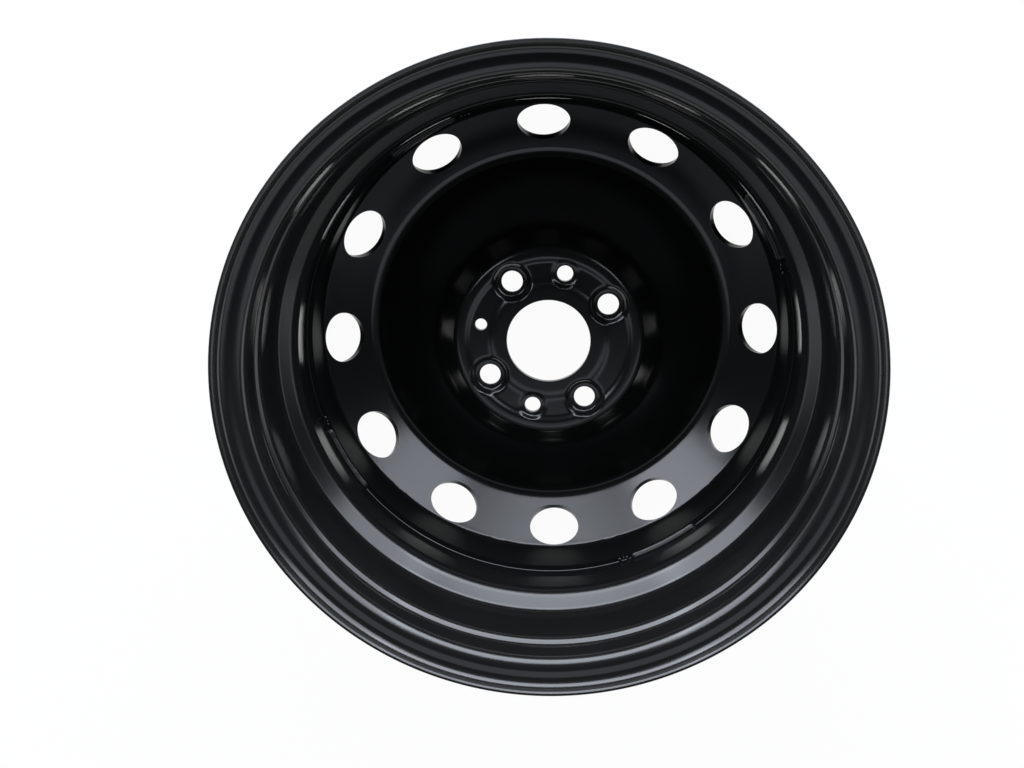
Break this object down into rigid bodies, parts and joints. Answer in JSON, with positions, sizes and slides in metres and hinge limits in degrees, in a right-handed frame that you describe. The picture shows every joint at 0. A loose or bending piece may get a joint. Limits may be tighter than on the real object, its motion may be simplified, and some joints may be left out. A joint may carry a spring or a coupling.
{
  "type": "steel wheel rim",
  "caption": "Pressed steel road wheel: a rolled drop-centre rim with a deep bowl disc welded inside it, oval vents round the ring and a bolted hub pad; gloss black paint.",
  "frame": {"origin": "centre of the hub bore on the plane of the hub face", "axes": "+Z along the wheel axis towards the vehicle, +X through the first bolt hole; the wheel lies on its road-side lip"},
  "size_m": [0.4147, 0.4148, 0.1891],
  "materials": {
    "rim_paint": "smooth gloss black paint over rolled steel strip",
    "disc_paint": "smooth gloss black paint over deep-drawn sheet steel",
    "weld_paint": "gloss black paint over rippled weld bead"
  },
  "bodies": {
    "root": {"rim": "rim_paint", "disc": "disc_paint", "weld_1": "weld_paint", "weld_2": "weld_paint", "weld_3": "weld_paint", "weld_4": "weld_paint"}
  },
  "joints": []
}
